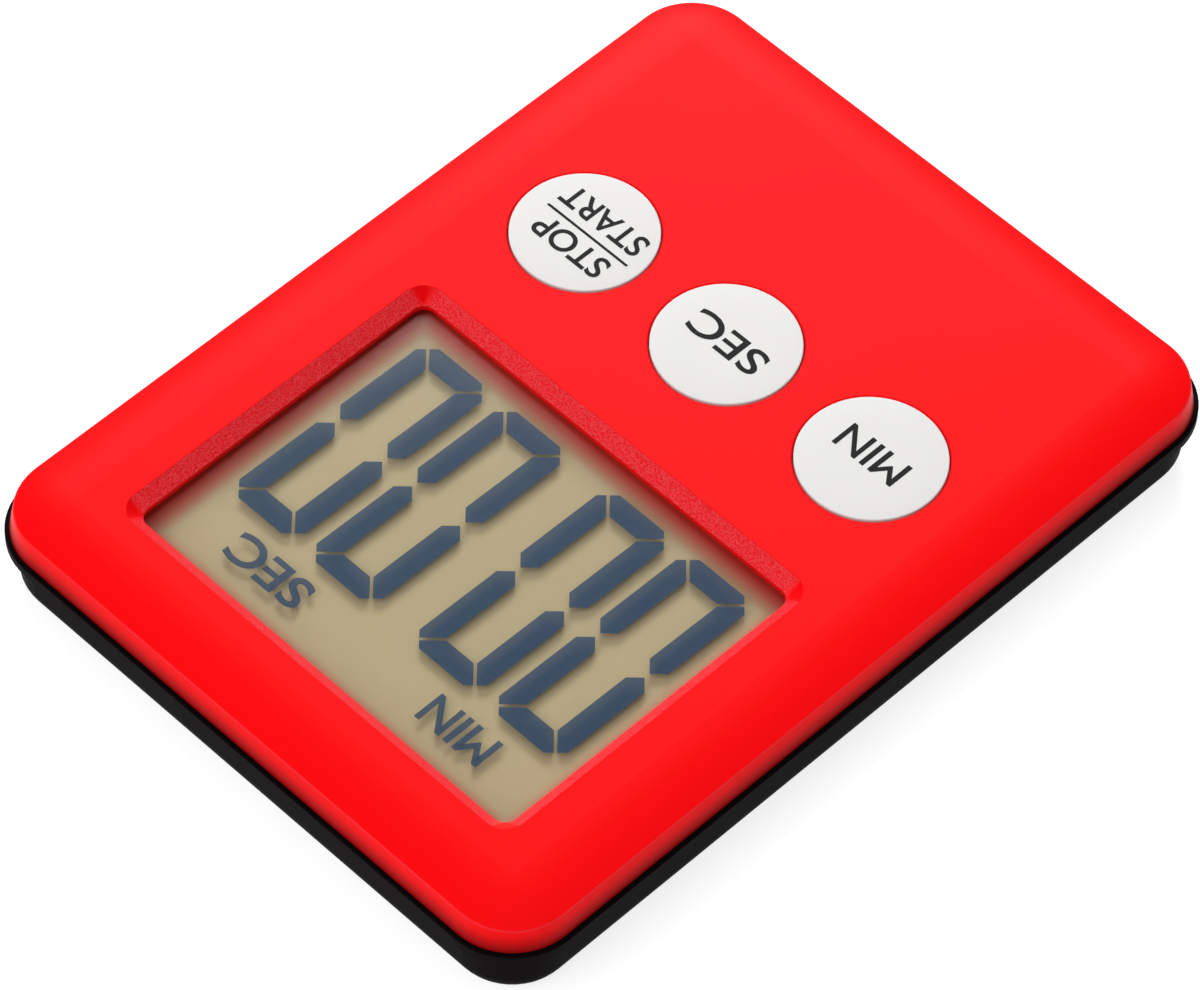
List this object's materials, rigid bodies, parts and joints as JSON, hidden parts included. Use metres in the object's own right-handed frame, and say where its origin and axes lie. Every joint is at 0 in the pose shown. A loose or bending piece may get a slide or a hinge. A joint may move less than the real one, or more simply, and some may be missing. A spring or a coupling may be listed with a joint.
{
  "type": "kitchen timer",
  "caption": "Slim digital kitchen timer: rounded rectangular case with a recessed display window, round push buttons, fold-out stand, magnets and a coin-slot battery door.",
  "frame": {"origin": "middle of the case's outline, in the plane of its back", "axes": "+X reads left to right across the face, +Y runs up the face towards the display, +Z out of the face"},
  "size_m": [0.0616, 0.0814, 0.0098],
  "materials": {
    "red_cover_plastic": "satin moulded plastic, textured window bevel",
    "black_case_plastic": "fine grained moulded plastic",
    "white_button_plastic": "smooth moulded plastic",
    "silicone_rubber": "translucent silicone",
    "carbon_rubber": "conductive carbon rubber",
    "polariser_film": "clear film",
    "display_glass": "clear glass",
    "seal_epoxy": "cured epoxy",
    "reflector_film": "matt grey-green film",
    "frame_plastic": "moulded plastic",
    "connector_rubber": "layered elastomer",
    "board_laminate": "solder-masked laminate",
    "carbon_pads": "gold-flashed copper",
    "chip_resin": "cured black resin",
    "can_steel": "drawn can",
    "capacitor_ceramic": "sintered",
    "resistor_ceramic": "glazed chip",
    "buzzer_brass": "thin rolled disc",
    "buzzer_ceramic": "silvered disc",
    "lead_red_pvc": "wire insulation",
    "lead_black_pvc": "wire insulation",
    "solder": "reflowed",
    "cell_steel": "nickel-plated can",
    "contact_steel": "nickel-plated spring strip",
    "magnet_ferrite": "sintered ferrite",
    "screw_steel": "zinc plated"
  },
  "bodies": {
    "case": {"front_cover": "red_cover_plastic", "rear_cover": "black_case_plastic", "minute_key_dome": "silicone_rubber", "second_key_dome": "silicone_rubber", "start_stop_key_dome": "silicone_rubber", "lcd_front_polariser": "polariser_film", "lcd_front_glass": "display_glass", "lcd_seal": "seal_epoxy", "lcd_rear_glass": "display_glass", "lcd_rear_reflector": "reflector_film", "lcd_frame": "frame_plastic", "zebra_connector": "connector_rubber", "circuit_board": "board_laminate", "key_contact_pads": "carbon_pads", "chip_resin": "chip_resin", "crystal_can": "can_steel", "smd_capacitors": "capacitor_ceramic", "smd_resistors": "resistor_ceramic", "buzzer_brass_disc": "buzzer_brass", "buzzer_ceramic_disc": "buzzer_ceramic", "buzzer_lead_red": "lead_red_pvc", "buzzer_lead_black": "lead_black_pvc", "lead_solder": "solder", "button_cell": "cell_steel", "battery_positive_contact": "contact_steel", "battery_negative_contact": "contact_steel", "magnets": "magnet_ferrite", "case_screws": "screw_steel", "board_screws": "screw_steel"},
    "minute_button": {"minute_button": "white_button_plastic", "minute_carbon_pill": "carbon_rubber"},
    "second_button": {"second_button": "white_button_plastic", "second_carbon_pill": "carbon_rubber"},
    "start_stop_button": {"start_stop_button": "white_button_plastic", "start_stop_carbon_pill": "carbon_rubber"},
    "stand": {"stand": "black_case_plastic"},
    "battery_door": {"battery_door": "black_case_plastic"}
  },
  "joints": [
    {"name": "minute_press", "type": "slide", "parent": "case", "child": "minute_button", "axis": [0, 0, -1], "range_m": [0, 0.0006], "stiffness_N_per_m": 300, "springref_m": -0.0004, "deforming": ["minute_key_dome"]},
    {"name": "second_press", "type": "slide", "parent": "case", "child": "second_button", "axis": [0, 0, -1], "range_m": [0, 0.0006], "stiffness_N_per_m": 300, "springref_m": -0.0004, "deforming": ["second_key_dome"]},
    {"name": "start_stop_press", "type": "slide", "parent": "case", "child": "start_stop_button", "axis": [0, 0, -1], "range_m": [0, 0.0006], "stiffness_N_per_m": 300, "springref_m": -0.0004, "deforming": ["start_stop_key_dome"]},
    {"name": "stand_hinge", "type": "hinge", "parent": "case", "child": "stand", "pos_m": [0, -0.014, 0.00105], "axis": [-1, 0, 0], "range_deg": [0, 110]},
    {"name": "battery_door_turn", "type": "hinge", "parent": "case", "child": "battery_door", "pos_m": [0.013, -0.0275, 0.0006], "axis": [0, 0, -1], "range_deg": [0, 40]}
  ]
}
